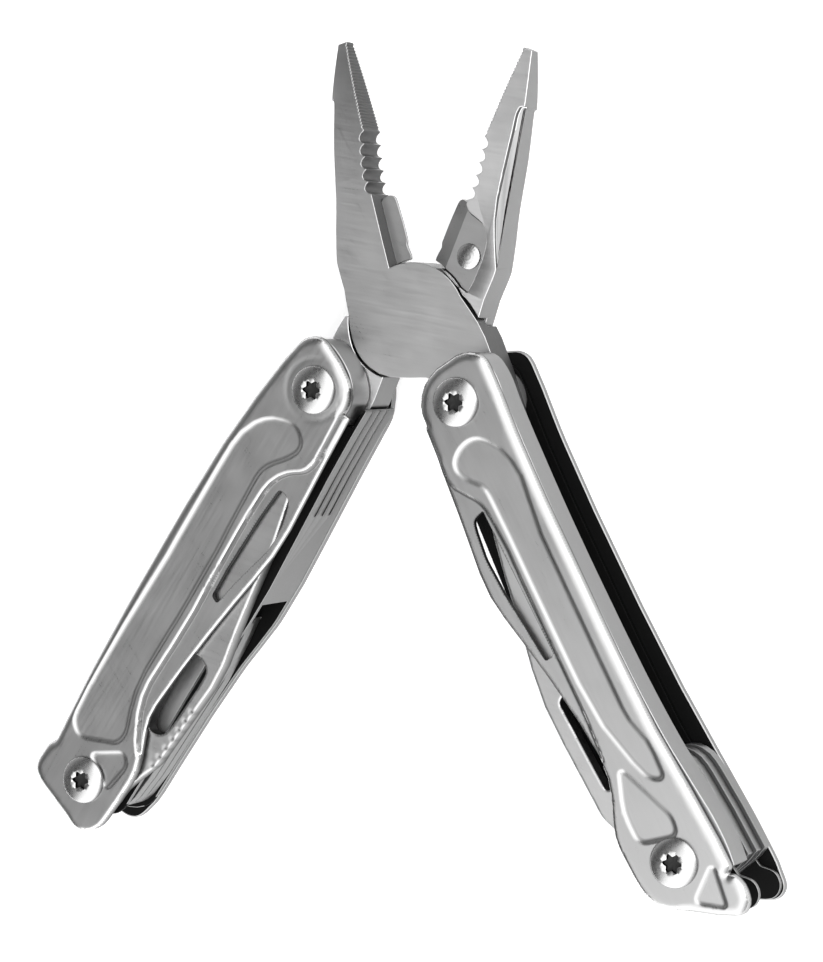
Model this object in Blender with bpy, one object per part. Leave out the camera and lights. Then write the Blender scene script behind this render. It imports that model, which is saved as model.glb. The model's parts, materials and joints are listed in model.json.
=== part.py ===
"""Pocket multi tool: spring-action pliers with two folding handles, held with the jaws sprung open.

The tool lies on its rear face. Its thickness runs along +Z and the jaws point along +Y.
Every hinge axis is parallel to Z, so each piece is a flat plan shape given between two heights.
Lengths below are millimetres; MM turns them into metres.

Plan shapes of a handle use two axes from the handle's own pivot: along the handle towards its
lower screw, and across it towards the open side of its channel. Plan shapes of a plier half are
drawn with the jaws shut, the pivot at the origin and that half's jaw to the left.
"""

import math
from collections import Counter

import bmesh
import bpy
from mathutils import Vector
from mathutils.geometry import delaunay_2d_cdt

MM = 0.001

# Pose of the plier head and the handles.
PLIER_PIVOT = (-2.326, 22.719)
JAW_OPENING = math.radians(19.5)
HANDLE_PIVOT = (8.24, -15.7)
HANDLE_SPREAD = {"right": math.radians(31.8), "left": math.radians(30.0)}
HANDLE_LENGTH = 81.0
SIDES = {"right": 1, "left": -1}

# Heights of the layers of a handle, from its rear face upwards.
REAR_PLATE = (0.0, 1.3)
CHANNEL = (1.6, 12.0)
CHANNEL_INSIDE = (2.4, 11.2)
REAR_WASHER = (2.5, 2.8)
FRONT_BUSH = (9.4, 11.1)
INNER_TOOL_LAYERS = ((7.3, 9.4), (5.0, 7.1), (2.7, 4.8))
RAIL = (9.7, 15.5)
REAR_BLADE_WASHER = (12.1, 12.4)
BLADE = (12.55, 15.25)
FRONT_BLADE_WASHER = (15.4, 15.7)
FRONT_PLATE = (15.8, 17.5)
LOWERED_FACE = 16.7
EMBOSS_DEPTH = 0.5

# The plier head, measured from its own mid-plane.
HEAD_MIDDLE = 6.1
HEAD_HALF = 3.2
LAP_GAP = 0.1
LAP_RADIUS = 9.8
TIP_HALF = 1.2
TAPER_START = 22.0
TIP_Y = 48.3
INSERT = (-2.7, -0.15)
FINE_TEETH = 27
LARGE_TEETH = 5
RIVET_AT = (-5.2, 13.8)

# Turned pieces.
BARREL_RADIUS = 2.6
BORE_CLEAR = 2.69
SHANK_RADIUS = 1.3
SHANK_HOLE = 1.6
SCREW_HEAD_RADIUS = 4.0
SCREW_HEAD_HEIGHT = 1.3
FLANGE_RADIUS = 3.6
ROUND_STEPS = 28

# Colour and roughness of each kind of steel.
FORGED = ((0.52, 0.52, 0.53), 0.34)
BLASTED = ((0.56, 0.56, 0.57), 0.42)
BLADE_STEEL = ((0.60, 0.60, 0.61), 0.30)
SCREW_STEEL = ((0.62, 0.62, 0.63), 0.22)
PLAIN = ((0.42, 0.42, 0.43), 0.45)


# ---------------------------------------------------------------- plan shapes


def rounded(points):
    """A closed outline. Each point is (x, y) or (x, y, reach), and its corner is rounded off
    over that reach along both edges; with no reach the curve runs from edge middle to edge middle."""
    outline = []
    count = len(points)
    for i, point in enumerate(points):
        corner = Vector(point[:2])
        before = Vector(points[i - 1][:2]) - corner
        after = Vector(points[(i + 1) % count][:2]) - corner
        longest = min(before.length, after.length) / 2
        reach = min(point[2], longest) if len(point) > 2 else longest
        start = corner + before.normalized() * reach
        end = corner + after.normalized() * reach
        turn = math.pi - before.angle(after)
        steps = max(1, math.ceil(turn / math.radians(16)))
        if reach < 0.02:
            outline.append(tuple(corner))
            continue
        for step in range(steps + 1):
            t = step / steps
            place = start * (1 - t) ** 2 + corner * 2 * t * (1 - t) + end * t**2
            if not outline or (Vector(outline[-1]) - place).length > 0.02:
                outline.append(tuple(place))
    if (Vector(outline[0]) - Vector(outline[-1])).length < 0.02:
        outline.pop()
    return outline


def circle(centre, radius, steps=ROUND_STEPS):
    turns = [2 * math.pi * i / steps for i in range(steps)]
    return [(centre[0] + radius * math.cos(a), centre[1] + radius * math.sin(a)) for a in turns]


def arc(radius, start, end, steps):
    """Points on a circle about the origin, between two angles in degrees."""
    turns = [math.radians(start + (end - start) * i / steps) for i in range(steps + 1)]
    return [(radius * math.cos(a), radius * math.sin(a)) for a in turns]


def offset_path(path, distance):
    """The open path moved sideways, to the right of its direction of travel."""
    moved = []
    for i, point in enumerate(path):
        before = Vector(path[max(i - 1, 0)])
        after = Vector(path[min(i + 1, len(path) - 1)])
        along = (after - before).normalized()
        moved.append((point[0] + along.y * distance, point[1] - along.x * distance))
    return moved


def smooth_path(points, steps=4):
    """An open curve through the points."""
    ends = [points[0], *points, points[-1]]
    curve = []
    for i in range(len(points) - 1):
        a, b, c, d = (Vector(p) for p in ends[i : i + 4])
        for step in range(steps):
            t = step / steps
            place = 0.5 * (
                2 * b + (c - a) * t + (2 * a - 5 * b + 4 * c - d) * t**2
                + (3 * b - a - 3 * c + d) * t**3
            )
            curve.append(tuple(place))
    return [*curve, tuple(points[-1])]


# ---------------------------------------------------------------- solids


def clear_scene():
    for thing in list(bpy.data.objects):
        bpy.data.objects.remove(thing)


def steel(name, colour, roughness):
    material = bpy.data.materials.new(name)
    material.use_nodes = True
    shader = material.node_tree.nodes["Principled BSDF"]
    shader.inputs["Base Color"].default_value = (*colour, 1)
    shader.inputs["Metallic"].default_value = 1
    shader.inputs["Roughness"].default_value = roughness
    return material


def frame(name, place, turn=0.0, flip=False, parent=None):
    """An empty that carries the pieces of one moving group; flip turns it over about its own Y."""
    empty = bpy.data.objects.new(name, None)
    empty.location = [v * MM for v in place]
    empty.rotation_euler = (0, math.pi if flip else 0, turn)
    empty.parent = parent
    bpy.context.scene.collection.objects.link(empty)
    return empty


def add_object(name, mesh, parent, finish, place=(0, 0, 0)):
    piece = bpy.data.objects.new(name, mesh)
    piece.location = [v * MM for v in place]
    piece.parent = parent
    if finish is not None:
        mesh.materials.append(steel(name, *finish))
    bpy.context.scene.collection.objects.link(piece)
    return piece


def is_inside(point, loops):
    """Whether a point lies within the outline and outside its holes."""
    crossings = 0
    for loop in loops:
        for (ax, ay), (bx, by) in zip(loop, (*loop[1:], loop[0])):
            if (ay > point.y) != (by > point.y):
                crossings += point.x < ax + (point.y - ay) * (bx - ax) / (by - ay)
    return crossings % 2 == 1


def prism_mesh(name, loops, low, high):
    """A solid between two heights. The first loop is the outline and the others are holes."""
    points, edges = [], []
    for loop in loops:
        first, count = len(points), len(loop)
        points += [Vector(corner) for corner in loop]
        edges += [(first + i, first + (i + 1) % count) for i in range(count)]
    points, _, triangles, *_ = delaunay_2d_cdt(points, edges, [], 1, 1e-6)
    middles = [sum((points[i] for i in t), Vector((0, 0))) / 3 for t in triangles]
    triangles = [t for t, middle in zip(triangles, middles) if is_inside(middle, loops)]
    sides = Counter(frozenset(pair) for t in triangles for pair in zip(t, (*t[1:], t[0])))
    work = bmesh.new()
    bottom = [work.verts.new((x * MM, y * MM, low * MM)) for x, y in points]
    top = [work.verts.new((x * MM, y * MM, high * MM)) for x, y in points]
    for a, b, c in triangles:
        work.faces.new((bottom[a], bottom[b], bottom[c]))
        work.faces.new((top[a], top[b], top[c]))
    for pair in (side for side, uses in sides.items() if uses == 1):
        a, b = sorted(pair)
        work.faces.new((bottom[a], bottom[b], top[b], top[a]))
    bmesh.ops.recalc_face_normals(work, faces=work.faces)
    mesh = bpy.data.meshes.new(name)
    work.to_mesh(mesh)
    work.free()
    return mesh


def turned_mesh(name, profile, steps=ROUND_STEPS):
    """A solid of revolution about Z. The profile of (radius, height) starts and ends on the axis."""
    work = bmesh.new()
    rings = []
    for radius, height in profile:
        if radius == 0:
            rings.append([work.verts.new((0, 0, height * MM))])
            continue
        places = circle((0, 0), radius, steps)
        rings.append([work.verts.new((x * MM, y * MM, height * MM)) for x, y in places])
    for lower, upper in zip(rings, rings[1:]):
        for i in range(steps):
            j = (i + 1) % steps
            below = [lower[i % len(lower)], lower[j % len(lower)]]
            above = [upper[j % len(upper)], upper[i % len(upper)]]
            work.faces.new(list(dict.fromkeys([*below, *above])))
    bmesh.ops.recalc_face_normals(work, faces=work.faces)
    mesh = bpy.data.meshes.new(name)
    work.to_mesh(mesh)
    work.free()
    mesh.shade_smooth()
    mesh.set_sharp_from_angle(angle=math.radians(40))
    return mesh


def boolean(piece, mesh, place=(0, 0, 0)):
    """Cuts the mesh from the piece."""
    helper = add_object(f"{mesh.name}_helper", mesh, piece.parent, None, place)
    helper.hide_render = True
    helper.display_type = "WIRE"
    modifier = piece.modifiers.new(helper.name, "BOOLEAN")
    modifier.operation = "DIFFERENCE"
    modifier.object = helper
    modifier.solver = "EXACT"


# ---------------------------------------------------------------- plier halves

# Outline of the lap disc with the tang and the jaw's root, from the top of the disc round the tang.
TANG_OUTER = [(11.1, -1.9), (12.05, -4.6), (12.6, -9.0), (13.3, -16.0, 3.0)]
TANG_END = [
    (13.3, -21.2, 5.0), (8.2, -22.7, 4.5), (3.0, -21.4, 4.0), (1.2, -16.5, 2.0), (1.2, -10.5, 0.1),
]
DISC_LOWER = [(0.2, -9.6, 0.5), (-4.4, -8.5), (-8.3, -6.9), (-11.2, -3.0), (-11.5, 1.6), (-11.1, 3.8, 0.4)]
JAW_OUTER = [
    (-10.7, 8.4), (-10.8, 12.6), (-10.6, 14.2), (-9.5, 18.5), (-8.1, 23.4), (-6.35, 31.4),
    (-4.5, 38.8), (-4.75, 39.5), (-3.5, 43.4), (-1.75, TIP_Y),
]

# The rebate along the jaw's outer edge on its lap side, and how deep it is at its two ends.
REBATE = [
    (-3.9, 39.4, 0.3), (-3.75, 38.2, 0.8), (-4.85, 32.9), (-5.8, 26.7), (-6.7, 22.6), (-7.9, 19.4),
    (-10.9, 13.4, 0.3), (-13.0, 13.4, 0.1), (-13.0, 39.6, 0.1), (-4.8, 39.8, 0.1),
]
REBATE_ENDS = ((15.0, 0.35), (38.0, 1.5))

# How far the other half's disc, neck and tang reach as the pliers open and shut: (degrees, radius).
OTHER_HALF_REACH = [
    (-95, 10.4), (-84, 10.55), (-76, 10.95), (-60, 11.6), (-45, 11.8), (-19.2, 11.8), (-18.6, 13.2),
    (4, 13.2), (10, 10.15), (131, 10.15), (147, 11.5), (158, 12.6), (168, 13.6),
]


def toothed_edge():
    """The gripping edge from the tip down to the cutter: fine teeth, then large round ones.

    The large teeth lie along a hollow, and each gap between them is a round scallop."""
    fine_top, fine_bottom, fine_depth = TIP_Y - 0.4, 33.2, 0.28
    pitch = (fine_top - fine_bottom) / FINE_TEETH
    edge = [(-0.08, TIP_Y)]
    for i in range(FINE_TEETH):
        y = fine_top - i * pitch
        edge += [(-0.06, y), (-0.06 - fine_depth, y - pitch / 2)]
    large_top, large_pitch, scallop = 32.8, 2.1, 0.95
    for i in range(LARGE_TEETH):
        for step in range(6):
            t = step / 6
            hollow = 1.4 * math.sin(math.pi / 2 * (i + t) / LARGE_TEETH)
            depth = scallop * math.sin(math.pi * t) ** 0.7
            edge.append((-0.06 - hollow - depth, large_top - (i + t) * large_pitch))
    edge.append((-1.5, large_top - LARGE_TEETH * large_pitch))
    return edge


def jaw_half_thickness(y):
    """Half the jaw's thickness, which thins towards the tip."""
    rise = max(0.0, (y - TAPER_START) / (TIP_Y - TAPER_START))
    return HEAD_HALF - (HEAD_HALF - TIP_HALF) * rise**2.5


def thin_towards_tip(mesh):
    for vertex in mesh.vertices:
        half = jaw_half_thickness(vertex.co.y / MM)
        vertex.co.z *= half / HEAD_HALF


def rebate_mesh(name):
    """The cutter of the rebate, whose floor slopes down towards the jaw's tip."""
    mesh = prism_mesh(name, [rounded(REBATE)], -HEAD_HALF - 1, -HEAD_HALF)
    (near, shallow), (far, deep) = REBATE_ENDS
    for vertex in mesh.vertices:
        if vertex.co.z > (-HEAD_HALF - 0.5) * MM:
            along = (vertex.co.y / MM - near) / (far - near)
            vertex.co.z += (shallow + (deep - shallow) * along) * MM
    return mesh


def insert_outline(grow=0.0):
    """The cutter insert: a plate in the jaw's pocket whose blade passes the centre line."""
    back = [(-7.3 - grow, 8.3, 0.3), (-7.9 - grow, 12.2), (-7.3 - grow, 17.6), (-5.8, 19.6 + grow)]
    shoulder = [(-2.2, 20.4 + grow), (-1.2, 21.8 + grow, 1.2)]
    blade = [(0.9, 21.7 + grow, 1.4), (1.3, 18.4), (1.3, 13.6, 0.3), (0.9, 13.0, 0.3), (1.3, 10.9, 0.3)]
    lap = [(x, y, 0.0) for x, y in arc(10.5 - grow, 84, 124, 8)]
    return rounded([*back, *shoulder, *blade, *lap])


def plier_half(name, parent, finish, pin_depth, flush_head):
    """One half of the pliers. Its lap disc is on the upper side of the head's mid-plane."""
    disc_top = [(x, y, 0.0) for x, y in arc(LAP_RADIUS, 99.4, 10, 12)]
    disc = rounded([(-1.6, 14.0, 0.0), *disc_top, *TANG_OUTER, *TANG_END, *DISC_LOWER, (-10.7, 8.4, 0.0)])
    outline = [*toothed_edge(), *disc, *smooth_path(JAW_OUTER, 3)[1:]]
    mesh = prism_mesh(name, [outline], -HEAD_HALF, HEAD_HALF)
    thin_towards_tip(mesh)
    half = add_object(name, mesh, parent, finish)

    reach = []
    for (start, near), (end, far) in zip(OTHER_HALF_REACH, OTHER_HALF_REACH[1:]):
        steps = math.ceil((end - start) / 6)
        for step in range(steps):
            radius = near + (far - near) * step / steps
            turn = math.radians(start + (end - start) * step / steps)
            reach.append((radius * math.cos(turn), radius * math.sin(turn)))
    beyond = [(-13.0, 0.0), (-13.0, -6.0), (-6.0, -10.0)]
    boolean(half, prism_mesh(f"{name}_swept", [[*reach, *beyond]], -HEAD_HALF - 1, LAP_GAP))
    boolean(half, rebate_mesh(f"{name}_rebate"))
    boolean(half, prism_mesh(f"{name}_insert_pocket", [insert_outline(0.15)], -HEAD_HALF - 1, 0.0))
    boolean(half, prism_mesh(f"{name}_rivet_hole", [circle(RIVET_AT, 1.25, 20)], -1, 2.3))
    boolean(half, prism_mesh(f"{name}_handle_hole", [circle(HANDLE_PIVOT, BORE_CLEAR)], -5, 5))
    boolean(half, prism_mesh(f"{name}_pin_hole", [circle((0, 0), BORE_CLEAR)], -1, pin_depth))
    if flush_head:
        boolean(half, prism_mesh(f"{name}_counterbore", [circle((0, 0), 3.8)], HEAD_HALF - 0.75, 5))
    else:
        ring = [circle((0, 0), 5.6), circle((0, 0), 3.4)]
        boolean(half, prism_mesh(f"{name}_spring_groove", ring, -1, 1.6))
    return half


def cutter_pieces(prefix, parent, finish):
    """The cutter insert and the domed rivet that holds it."""
    low, high = INSERT
    hole = circle(RIVET_AT, 1.25, 20)
    mesh = prism_mesh("insert", [insert_outline(), hole], low, high)
    insert = add_object(f"{prefix}_cutter_insert", mesh, parent, finish)
    bevel = [(-2.2, low - 1), (2.2, low - 1), (2.2, high - 0.35), (1.35, high - 0.35), (-2.0, low - 0.01)]
    work = bmesh.new()
    ends = [[work.verts.new((x * MM, y * MM, z * MM)) for x, z in bevel] for y in (9.0, 23.0)]
    work.faces.new(ends[0])
    work.faces.new(ends[1])
    for i in range(len(bevel)):
        j = (i + 1) % len(bevel)
        work.faces.new((ends[0][i], ends[0][j], ends[1][j], ends[1][i]))
    bmesh.ops.recalc_face_normals(work, faces=work.faces)
    cut = bpy.data.meshes.new(f"{prefix}_bevel")
    work.to_mesh(cut)
    work.free()
    boolean(insert, cut)
    turns = [math.radians(a) for a in range(0, 91, 18)]
    dome = [(2.15 * math.sin(a), low - 0.15 - 0.6 * math.cos(a)) for a in turns]
    profile = [(0, dome[0][1]), *dome[1:], (2.15, low - 0.05), (1.1, low - 0.05), (1.1, 2.1), (0, 2.1)]
    add_object(f"{prefix}_cutter_rivet", turned_mesh("rivet", profile, 24), parent, finish, (*RIVET_AT, 0))


def pivot_pin(parent, finish):
    """The plier pivot: a pin with a flush head at the rear and a blind end at the front."""
    low = HEAD_MIDDLE - HEAD_HALF + 0.05
    high = HEAD_MIDDLE + 2.1
    head = [(0, low), (FLANGE_RADIUS, low), (FLANGE_RADIUS, low + 0.6)]
    profile = [*head, (BARREL_RADIUS, low + 0.6), (BARREL_RADIUS, high), (0, high)]
    return add_object("plier_pivot_pin", turned_mesh("pivot_pin", profile), parent, finish)


def return_spring(parent, finish):
    """An open ring of spring wire round the pin, in the groove of the front half."""
    curve = bpy.data.curves.new("return_spring", "CURVE")
    curve.dimensions = "3D"
    curve.bevel_depth = 0.5 * MM
    curve.bevel_resolution = 2
    curve.use_fill_caps = True
    path = curve.splines.new("POLY")
    ring = arc(4.5, 20, 330, 30)
    path.points.add(len(ring) - 1)
    for point, (x, y) in zip(path.points, ring):
        point.co = (x * MM, y * MM, 0.85 * MM, 1)
    return add_object("return_spring", curve, parent, finish)


# ---------------------------------------------------------------- handle outlines

TOP_EDGE = {
    "right": [(-1.2, -6.9), (-4.2, -5.6), (-6.2, -2.8), (-7.0, 1.0), (-6.8, 4.9)],
    "left": [(-1.2, -6.6), (-3.6, -5.4), (-5.6, -2.6), (-7.0, 1.0), (-7.9, 4.0)],
}
PLATE_CORNER = {
    "right": [(1.0, -7.35, 0.2), (0.8, -6.9, 0.2)],
    "left": [(0.7, -7.5, 0.2), (0.55, -6.5, 0.2)],
}
OPEN_EDGE = {
    "right": [
        (-4.7, 7.5), (0, 7.6), (6, 7.0), (16, 6.5), (34, 6.3), (54, 6.3), (66, 6.7), (76, 8.0),
        (85.4, 8.1, 0.5),
    ],
    "left": [
        (-6.2, 6.6), (-2.6, 7.6), (3, 8.4), (12, 9.5), (24, 10.1), (40, 10.1), (58, 9.9), (70, 9.3),
        (79, 8.6, 1),
    ],
}
END_EDGE = {
    "right": [
        (86.1, 7.1, 0.3), (86.7, 8.1), (88.6, 8.9), (91.6, 8.5), (93.0, 6.6), (91.9, 3.7), (88.9, -1.3),
        (86.2, -5.6), (83.2, -7.1),
    ],
    "left": [
        (80.1, 9.4, 0.5), (82.4, 9.8), (85.4, 9.6), (86.9, 7.4), (87.6, 4.0), (88.6, 0.4), (89.2, -3.0),
        (88.0, -5.6), (85.8, -7.0),
    ],
}
CUT_EDGE = {
    "right": [
        (78, -7.6), (73.4, -7.6), (69.6, -6.0), (64.6, -3.9), (58, -4.4), (50, -5.6), (43, -7.0),
        (37, -8.3), (32.4, -9.4), (28.2, -9.8), (22, -9.1), (11, -8.0),
    ],
    "left": [
        (78, -7.6), (73.4, -7.6), (69.6, -6.0), (64.6, -3.9), (58, -4.4), (50, -5.2), (42, -6.3),
        (36, -7.2), (30.4, -8.2), (25, -8.8), (14, -8.1),
    ],
}
SPINE_EDGE = [
    (83.5, -7.0), (70, -7.2), (59, -7.6), (50, -8.3), (45.5, -9.1), (38, -9.5), (30, -9.1), (18, -8.4),
    (8, -7.85), (1, -7.6),
]
REAR_OPEN_EDGE = {
    "right": [
        (-4.8, 8.1), (0, 8.2), (6, 7.5), (18, 6.9), (32, 6.8), (48, 6.9), (62, 7.5), (74, 8.5), (83, 9.0),
    ],
    "left": OPEN_EDGE["left"],
}
REAR_END_EDGE = {
    "right": [(89.0, 9.0), (92.0, 8.4), (93.0, 6.4), (91.9, 3.6), (88.9, -1.3), (86.2, -5.6)],
    "left": END_EDGE["left"][:-1],
}
RAIL_PATH = {
    "right": [
        (85.4, 8.2), (82, 8.6), (77, 8.5), (71, 7.8), (63, 6.9), (52, 6.35), (38, 6.2), (24, 6.3),
        (12, 6.7), (4, 7.1), (-1, 7.5), (-4.7, 6.9), (-6.5, 4.7), (-6.9, 1.2), (-6.2, -2.1), (-4.5, -4.9),
        (-1.6, -6.4), (2.8, -6.6),
    ],
    "left": [
        (82.6, 8.9), (77, 8.6), (70, 9.1), (60, 9.6), (48, 9.9), (34, 9.95), (22, 9.8), (12, 9.2),
        (4, 8.3), (-1, 7.5), (-4.6, 6.6), (-7.0, 4.6), (-7.4, 2.2), (-6.4, -1.0), (-4.8, -3.8),
        (-2.0, -6.0), (2.8, -6.4),
    ],
}
RAIL_THICKNESS = 1.2

# The formed face of the front plate: the raised field stops at this line, seen from the top down.
STEP_LINE = {
    "right": [
        (1.0, -8.9, 0.1), (1.3, -6.95, 0.2), (11.0, -7.7), (13.4, -6.3), (16, -4.0), (22, -3.1),
        (32, -3.5), (46, -3.3), (58, -3.5), (63.5, -4.1), (67, -6.8), (70, -9),
    ],
    "left": [
        (0.4, -8.9, 0.1), (0.75, -6.45, 0.1), (10.4, -6.9), (12.6, -6.0), (14.4, -3.4), (17.5, -1.6),
        (22, -1.3), (34, -1.35), (48, -2.0), (56, -1.4), (62, -1.5), (67, -3.6), (70.6, -5.9), (72.6, -9),
    ],
}
LONG_RECESS = {
    "right": [
        (7.0, -3.0), (6.6, 0.2), (10, 3.4), (15.6, 4.7), (22, 3.2), (38, 3.0), (58, 3.0), (62, 4.6),
        (68.4, 4.4), (67.4, 2.4), (60.6, -0.2), (53, -1.4), (38, -1.5), (20, -1.4), (14, -1.6),
        (11.8, -4.2), (9, -5.2),
    ],
    "left": [
        (13.6, 7.5), (8.6, 4.6), (6.9, -0.6), (9.4, -3.2), (12.2, -1.9), (16, 1.4), (24, 1.2), (40, 0.3),
        (54, 0.8), (62, 0.7), (69.5, -2.1, 1), (71.6, -1.6, 1), (75.2, 5.0, 1.6), (73.4, 7.4, 1.6),
        (60, 8.3), (46, 7.3), (28, 7.7),
    ],
}
SMALL_RECESSES = {
    "right": [
        [(64.4, -1.6, 1), (70.6, -4.0, 2), (75.8, -3.9, 1.4), (77.2, 2.2, 1.2), (74.4, 2.7, 1.2)],
        [(84.1, 5.5, 0.8), (88.0, 0.5, 1), (90.6, 4.6, 0.9)],
    ],
    "left": [[(76.4, 1.0, 0.8), (72.5, -3.9, 0.9), (74.0, -5.3, 0.9), (79.4, -4.4, 0.9)]],
}
THUMB_SLOT = {
    "right": [
        (17.4, -4.3, 0.4), (18.0, -6.6, 1), (22, -7.4), (28, -7.6), (34, -6.7), (43.6, -5.6, 0.6),
        (43.2, -3.8, 0.5), (30, -4.1),
    ],
    "left": [
        (17.6, -3.4, 0.7), (18.0, -6.0, 1.2), (22.5, -7.4), (27.5, -7.4), (33, -5.6), (40.6, -4.2, 0.7),
        (40.0, -2.7, 0.5), (29, -2.4),
    ],
}
CHANNEL_END = {
    "right": [
        (86.9, 6.6, 0.4), (88.8, 8.7), (91.3, 8.4), (92.6, 6.5), (91.5, 3.4), (88.5, -1.4), (86.0, -5.0),
    ],
    "left": [(88.2, 4.6), (88.0, -1.0), (86.0, -5.0)],
}
INNER_WALL = [(-3.0, -7.2), (3.2, -7.25), (10, -7.35), (18, -7.75), (30, -8.4), (37.8, -8.8)]
TONGUE = [
    (40.0, -6.2, 0.4), (40.0, -1.8, 0.4), (70, -2.0), (75.4, -2.6, 0.6), (75.4, -5.6, 0.6), (70, -6.2),
]
TONGUE_WINDOW = [
    (39.6, -6.6, 0.6), (39.6, -1.4, 0.6), (70, -1.6), (76.2, -1.8, 0.6), (76.2, -6.2, 0.6), (70, -6.6),
]


def mirrored(points, side):
    return [(p[0], p[1] * side, *p[2:]) for p in points]


def two_holes(radius):
    return [circle((0, 0), radius), circle((HANDLE_LENGTH, 0), radius)]


def front_plate(name, hand, parent, finish):
    """The stamped cover: a raised field with sunk panels, and a lowered field with the thumb slot."""
    side = SIDES[hand]
    edges = [*PLATE_CORNER[hand], *TOP_EDGE[hand], *OPEN_EDGE[hand], *END_EDGE[hand], *CUT_EDGE[hand]]
    outline = rounded(mirrored(edges, side))
    slot = rounded(mirrored(THUMB_SLOT[hand], side))
    low, high = FRONT_PLATE
    mesh = prism_mesh(name, [outline, slot, *two_holes(SHANK_HOLE)], low, high)
    plate = add_object(name, mesh, parent, finish)
    lowered = mirrored([*STEP_LINE[hand], (70, -14, 0.1), (1, -14, 0.1)], side)
    boolean(plate, prism_mesh(f"{name}_lowered", [rounded(lowered)], LOWERED_FACE, high + 1))
    for i, points in enumerate([LONG_RECESS[hand], *SMALL_RECESSES[hand]]):
        panel = rounded(mirrored(points, side))
        boolean(plate, prism_mesh(f"{name}_panel_{i}", [panel], high - EMBOSS_DEPTH, high + 1))
    return plate


def rear_plate(name, hand, parent, finish):
    """The stamped back cover, flat where the tool lies on it."""
    side = SIDES[hand]
    edges = [*TOP_EDGE[hand], *REAR_OPEN_EDGE[hand], *REAR_END_EDGE[hand], *SPINE_EDGE]
    outline = rounded(mirrored(edges, side))
    low, high = REAR_PLATE
    plate = add_object(name, prism_mesh(name, [outline, *two_holes(BORE_CLEAR)], low, high), parent, finish)
    for i, hole in enumerate(two_holes(3.8)):
        boolean(plate, prism_mesh(f"{name}_counterbore_{i}", [hole], low - 1, 0.7))
    panel = rounded(mirrored(LONG_RECESS[hand], side))
    boolean(plate, prism_mesh(f"{name}_panel", [panel], low - 1, 0.4))
    return plate


def channel(name, hand, parent, finish):
    """The inner channel: a rear wall, a front wall and the closed spine between them."""
    side = SIDES[hand]
    top = [(p[0] * 0.74, p[1] * 0.74) for p in TOP_EDGE[hand]]
    open_edge = [(p[0] * 0.74 if p[0] < 0 else p[0], p[1] - 1.8) for p in OPEN_EDGE[hand]]
    end = CHANNEL_END[hand]
    spine = [(p[0], p[1] + 0.1) for p in SPINE_EDGE[:-1]]
    spine_top = [(-0.7, -7.7, 0.2), (-0.9, -7.2, 0.1), (3.0, -7.0, 0.3), (3.5, -5.0)]
    outline = rounded(mirrored([*top, *open_edge, *end, *spine, *spine_top], side))
    low, high = CHANNEL
    body = add_object(name, prism_mesh(name, [outline, *two_holes(BORE_CLEAR)], low, high), parent, finish)
    wall_end = INNER_WALL[-1][0]
    space = [*INNER_WALL, (wall_end, -14), (100, -14), (100, 16), (-12, 16), (-12, -7.2)]
    boolean(body, prism_mesh(f"{name}_space", [mirrored(space, side)], *CHANNEL_INSIDE))
    window = rounded(mirrored(TONGUE_WINDOW, side))
    boolean(body, prism_mesh(f"{name}_window", [window], CHANNEL_INSIDE[1] - 0.5, high + 1))
    return body


def pocket_rail(name, hand, parent, finish):
    """The rail that closes the blade pocket along the open edge and round the top of the handle."""
    path = smooth_path(RAIL_PATH[hand])
    inside = offset_path(path, -RAIL_THICKNESS)
    outline = mirrored([*path, *inside[::-1]], SIDES[hand])
    return add_object(name, prism_mesh(name, [outline], *RAIL), parent, finish)


def ring(name, place, layer, radius, parent, finish):
    loops = [circle((0, 0), radius), circle((0, 0), BORE_CLEAR)]
    return add_object(name, prism_mesh(name, loops, *layer), parent, finish, (*place, 0))


def barrel(name, place, parent, finish):
    """A threaded sleeve with a flush flange at the rear; the pieces on its axis turn on it."""
    top, bottom, floor = 15.6, 0.1, 8.4
    flange = [(0, bottom), (FLANGE_RADIUS, bottom), (FLANGE_RADIUS, bottom + 0.5)]
    sleeve = [(BARREL_RADIUS, bottom + 0.5), (BARREL_RADIUS, top), (SHANK_HOLE, top)]
    profile = [*flange, *sleeve, (SHANK_HOLE, floor), (0, floor)]
    return add_object(name, turned_mesh(name, profile), parent, finish, (*place, 0))


def button_screw(name, place, parent, finish):
    """A domed screw with a six-lobed socket."""
    seat = FRONT_PLATE[1] + 0.1
    rim = 0.25
    rise = SCREW_HEAD_HEIGHT - rim
    turns = [math.radians(a) for a in range(0, 91, 15)]
    dome = [(SCREW_HEAD_RADIUS * math.cos(a), seat + rim + rise * math.sin(a)) for a in turns]
    shank = [(0, 8.8), (SHANK_RADIUS, 8.8), (SHANK_RADIUS, seat), (SCREW_HEAD_RADIUS, seat)]
    profile = [*shank, *dome[:-1], (0, seat + rim + rise)]
    screw = add_object(name, turned_mesh(name, profile), parent, finish, (*place, 0))
    lobes = [(2 * math.pi * i / 36, 1.25 + 0.22 * math.cos(math.pi * i / 3)) for i in range(36)]
    socket = [(radius * math.cos(a), radius * math.sin(a)) for a, radius in lobes]
    top = seat + SCREW_HEAD_HEIGHT
    boolean(screw, prism_mesh(f"{name}_socket", [socket], top - 0.9, top + 1), place=(*place, 0))
    return screw


# ---------------------------------------------------------------- tools

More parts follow.
